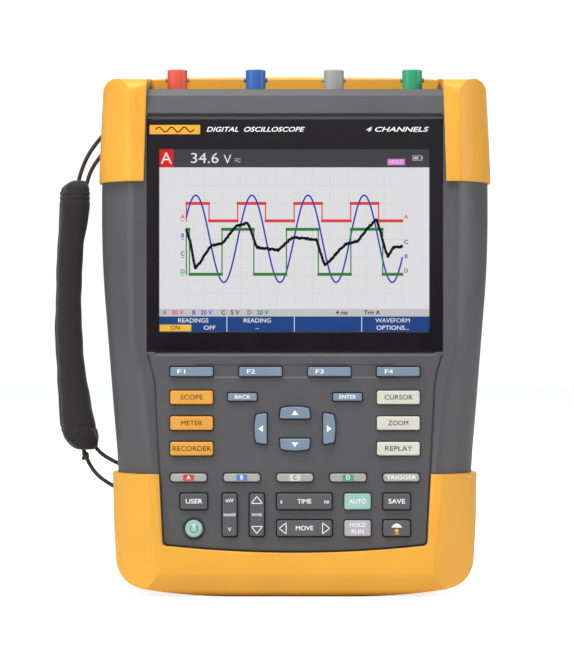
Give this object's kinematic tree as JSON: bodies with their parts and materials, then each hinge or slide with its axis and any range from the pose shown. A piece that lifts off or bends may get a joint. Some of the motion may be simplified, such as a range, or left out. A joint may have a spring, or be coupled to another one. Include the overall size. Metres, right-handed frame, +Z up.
{
  "type": "handheld oscilloscope",
  "caption": "Upright handheld oscilloscope with a wide display, rubber key panel, amber corner bumpers, bayonet inputs along the top and a padded hand strap.",
  "frame": {"origin": "bottom centre of the instrument, without its hand strap", "axes": "+X to the right of a person facing the display, +Y towards the back, +Z up along the long side"},
  "size_m": [0.213, 0.07, 0.2545],
  "materials": {
    "case_grey": "fine moulded grain",
    "case_dark": "moulded",
    "bumper_amber": "satin overmoulded elastomer",
    "seal_rubber": "soft matt",
    "steel": "plated",
    "lens_glass": "clear hard coated window with a black printed border",
    "lcd": "lit display module",
    "board": "coated laminate",
    "jack_red": "satin",
    "jack_blue": "satin",
    "jack_grey": "satin",
    "jack_green": "satin",
    "contact_brass": "plated",
    "battery": "shrink wrapped cells in a dark moulded shell",
    "socket_black": "moulded",
    "strap_fabric": "padded woven sleeve",
    "strap_cord": "braided cord",
    "key_steel_blue": "satin silicone",
    "key_amber": "satin silicone",
    "key_beige": "satin silicone",
    "key_light_grey": "satin silicone",
    "key_dark": "satin silicone",
    "key_mint": "satin silicone",
    "key_lavender": "satin silicone"
  },
  "bodies": {
    "housing": {"front_case": "case_grey", "rear_case": "case_grey", "case_gasket": "seal_rubber", "case_screws": "steel", "top_bumper": "bumper_amber", "bottom_bumper": "bumper_amber", "display_window": "lens_glass", "lcd_panel": "lcd", "keypad_mat": "seal_rubber", "snap_domes": "steel", "key_board": "board", "main_board": "board", "channel_shields": "steel", "input_jack_a": "jack_red", "input_jack_b": "jack_blue", "input_jack_c": "jack_grey", "input_jack_d": "jack_green", "jack_contacts": "contact_brass", "stand_hinge_pins": "steel", "port_sockets": "socket_black", "strap_sleeve": "strap_fabric", "strap_cord_outer": "strap_cord", "strap_cord_inner": "strap_cord"},
    "stand": {"tilt_stand": "case_grey"},
    "door": {"battery_door": "case_grey"},
    "battery": {"battery_pack": "battery"},
    "lock_left": {"door_lock_left": "case_dark"},
    "lock_right": {"door_lock_right": "case_dark"},
    "side_cover": {"port_cover": "case_dark"},
    "rocker_range": {"rocker_range": "key_dark"},
    "rocker_level": {"rocker_level": "key_dark"},
    "rocker_time": {"rocker_time": "key_dark"},
    "rocker_move": {"rocker_move": "key_dark"},
    "key_f1": {"key_f1": "key_steel_blue"},
    "key_f2": {"key_f2": "key_steel_blue"},
    "key_f3": {"key_f3": "key_steel_blue"},
    "key_f4": {"key_f4": "key_steel_blue"},
    "key_scope": {"key_scope": "key_amber"},
    "key_meter": {"key_meter": "key_amber"},
    "key_recorder": {"key_recorder": "key_amber"},
    "key_cursor": {"key_cursor": "key_beige"},
    "key_zoom": {"key_zoom": "key_beige"},
    "key_replay": {"key_replay": "key_beige"},
    "key_channel_a": {"key_channel_a": "key_light_grey"},
    "key_channel_b": {"key_channel_b": "key_light_grey"},
    "key_channel_c": {"key_channel_c": "key_light_grey"},
    "key_channel_d": {"key_channel_d": "key_light_grey"},
    "key_trigger": {"key_trigger": "key_light_grey"},
    "key_back": {"key_back": "key_steel_blue"},
    "key_enter": {"key_enter": "key_steel_blue"},
    "key_user": {"key_user": "key_dark"},
    "key_auto": {"key_auto": "key_mint"},
    "key_save": {"key_save": "key_dark"},
    "key_hold": {"key_hold": "key_lavender"},
    "key_light": {"key_light": "key_dark"},
    "key_up": {"key_up": "key_steel_blue"},
    "key_down": {"key_down": "key_steel_blue"},
    "key_left": {"key_left": "key_steel_blue"},
    "key_right": {"key_right": "key_steel_blue"},
    "key_power": {"key_power": "key_mint"}
  },
  "joints": [
    {"name": "stand_tilt", "type": "hinge", "parent": "housing", "child": "stand", "pos_m": [0, 0.0303, 0.19], "axis": [1, 0, 0], "range_deg": [0, 60]},
    {"name": "door_slide", "type": "slide", "parent": "housing", "child": "door", "axis": [0, 1, 0], "range_m": [0, 0.08]},
    {"name": "battery_slide", "type": "slide", "parent": "housing", "child": "battery", "axis": [0, 1, 0], "range_m": [0, 0.04]},
    {"name": "lock_left_turn", "type": "hinge", "parent": "door", "child": "lock_left", "pos_m": [-0.046, 0.031, 0.082], "axis": [0, 1, 0], "range_deg": [0, 90]},
    {"name": "lock_right_turn", "type": "hinge", "parent": "door", "child": "lock_right", "pos_m": [0.046, 0.031, 0.082], "axis": [0, 1, 0], "range_deg": [-90, 0]},
    {"name": "side_cover_hinge", "type": "hinge", "parent": "housing", "child": "side_cover", "pos_m": [0.0879, 0.013, 0.094], "axis": [0, 1, 0], "range_deg": [0, 100]},
    {"name": "rocker_range_rock", "type": "hinge", "parent": "housing", "child": "rocker_range", "pos_m": [-0.0312, -0.0292, 0.0396], "axis": [1, 0, 0], "range_deg": [-2.5, 2.5], "stiffness_Nm_per_rad": 0.9},
    {"name": "rocker_level_rock", "type": "hinge", "parent": "housing", "child": "rocker_level", "pos_m": [-0.0182, -0.0292, 0.0396], "axis": [1, 0, 0], "range_deg": [-2.5, 2.5], "stiffness_Nm_per_rad": 0.9},
    {"name": "rocker_time_rock", "type": "hinge", "parent": "housing", "child": "rocker_time", "pos_m": [0.0045, -0.0292, 0.046], "axis": [0, 0, 1], "range_deg": [-2, 2], "stiffness_Nm_per_rad": 0.9},
    {"name": "rocker_move_rock", "type": "hinge", "parent": "housing", "child": "rocker_move", "pos_m": [0.0045, -0.0292, 0.0332], "axis": [0, 0, 1], "range_deg": [-2, 2], "stiffness_Nm_per_rad": 0.9},
    {"name": "key_f1_press", "type": "slide", "parent": "housing", "child": "key_f1", "axis": [0, 1, 0], "range_m": [0, 0.0008], "stiffness_N_per_m": 1500, "springref_m": -0.0002},
    {"name": "key_f2_press", "type": "slide", "parent": "housing", "child": "key_f2", "axis": [0, 1, 0], "range_m": [0, 0.0008], "stiffness_N_per_m": 1500, "springref_m": -0.0002},
    {"name": "key_f3_press", "type": "slide", "parent": "housing", "child": "key_f3", "axis": [0, 1, 0], "range_m": [0, 0.0008], "stiffness_N_per_m": 1500, "springref_m": -0.0002},
    {"name": "key_f4_press", "type": "slide", "parent": "housing", "child": "key_f4", "axis": [0, 1, 0], "range_m": [0, 0.0008], "stiffness_N_per_m": 1500, "springref_m": -0.0002},
    {"name": "key_scope_press", "type": "slide", "parent": "housing", "child": "key_scope", "axis": [0, 1, 0], "range_m": [0, 0.0008], "stiffness_N_per_m": 1500, "springref_m": -0.0002},
    {"name": "key_meter_press", "type": "slide", "parent": "housing", "child": "key_meter", "axis": [0, 1, 0], "range_m": [0, 0.0008], "stiffness_N_per_m": 1500, "springref_m": -0.0002},
    {"name": "key_recorder_press", "type": "slide", "parent": "housing", "child": "key_recorder", "axis": [0, 1, 0], "range_m": [0, 0.0008], "stiffness_N_per_m": 1500, "springref_m": -0.0002},
    {"name": "key_cursor_press", "type": "slide", "parent": "housing", "child": "key_cursor", "axis": [0, 1, 0], "range_m": [0, 0.0008], "stiffness_N_per_m": 1500, "springref_m": -0.0002},
    {"name": "key_zoom_press", "type": "slide", "parent": "housing", "child": "key_zoom", "axis": [0, 1, 0], "range_m": [0, 0.0008], "stiffness_N_per_m": 1500, "springref_m": -0.0002},
    {"name": "key_replay_press", "type": "slide", "parent": "housing", "child": "key_replay", "axis": [0, 1, 0], "range_m": [0, 0.0008], "stiffness_N_per_m": 1500, "springref_m": -0.0002},
    {"name": "key_channel_a_press", "type": "slide", "parent": "housing", "child": "key_channel_a", "axis": [0, 1, 0], "range_m": [0, 0.0008], "stiffness_N_per_m": 1500, "springref_m": -0.0002},
    {"name": "key_channel_b_press", "type": "slide", "parent": "housing", "child": "key_channel_b", "axis": [0, 1, 0], "range_m": [0, 0.0008], "stiffness_N_per_m": 1500, "springref_m": -0.0002},
    {"name": "key_channel_c_press", "type": "slide", "parent": "housing", "child": "key_channel_c", "axis": [0, 1, 0], "range_m": [0, 0.0008], "stiffness_N_per_m": 1500, "springref_m": -0.0002},
    {"name": "key_channel_d_press", "type": "slide", "parent": "housing", "child": "key_channel_d", "axis": [0, 1, 0], "range_m": [0, 0.0008], "stiffness_N_per_m": 1500, "springref_m": -0.0002},
    {"name": "key_trigger_press", "type": "slide", "parent": "housing", "child": "key_trigger", "axis": [0, 1, 0], "range_m": [0, 0.0008], "stiffness_N_per_m": 1500, "springref_m": -0.0002},
    {"name": "key_back_press", "type": "slide", "parent": "housing", "child": "key_back", "axis": [0, 1, 0], "range_m": [0, 0.0008], "stiffness_N_per_m": 1500, "springref_m": -0.0002},
    {"name": "key_enter_press", "type": "slide", "parent": "housing", "child": "key_enter", "axis": [0, 1, 0], "range_m": [0, 0.0008], "stiffness_N_per_m": 1500, "springref_m": -0.0002},
    {"name": "key_user_press", "type": "slide", "parent": "housing", "child": "key_user", "axis": [0, 1, 0], "range_m": [0, 0.0008], "stiffness_N_per_m": 1500, "springref_m": -0.0002},
    {"name": "key_auto_press", "type": "slide", "parent": "housing", "child": "key_auto", "axis": [0, 1, 0], "range_m": [0, 0.0008], "stiffness_N_per_m": 1500, "springref_m": -0.0002},
    {"name": "key_save_press", "type": "slide", "parent": "housing", "child": "key_save", "axis": [0, 1, 0], "range_m": [0, 0.0008], "stiffness_N_per_m": 1500, "springref_m": -0.0002},
    {"name": "key_hold_press", "type": "slide", "parent": "housing", "child": "key_hold", "axis": [0, 1, 0], "range_m": [0, 0.0008], "stiffness_N_per_m": 1500, "springref_m": -0.0002},
    {"name": "key_light_press", "type": "slide", "parent": "housing", "child": "key_light", "axis": [0, 1, 0], "range_m": [0, 0.0008], "stiffness_N_per_m": 1500, "springref_m": -0.0002},
    {"name": "key_up_press", "type": "slide", "parent": "housing", "child": "key_up", "axis": [0, 1, 0], "range_m": [0, 0.0008], "stiffness_N_per_m": 1500, "springref_m": -0.0002},
    {"name": "key_down_press", "type": "slide", "parent": "housing", "child": "key_down", "axis": [0, 1, 0], "range_m": [0, 0.0008], "stiffness_N_per_m": 1500, "springref_m": -0.0002},
    {"name": "key_left_press", "type": "slide", "parent": "housing", "child": "key_left", "axis": [0, 1, 0], "range_m": [0, 0.0008], "stiffness_N_per_m": 1500, "springref_m": -0.0002},
    {"name": "key_right_press", "type": "slide", "parent": "housing", "child": "key_right", "axis": [0, 1, 0], "range_m": [0, 0.0008], "stiffness_N_per_m": 1500, "springref_m": -0.0002},
    {"name": "key_power_press", "type": "slide", "parent": "housing", "child": "key_power", "axis": [0, 1, 0], "range_m": [0, 0.0008], "stiffness_N_per_m": 1500, "springref_m": -0.0002}
  ],
  "couplings": [
    {"joint": "battery_slide", "follows": "door_slide", "ratio": 0.5}
  ]
}
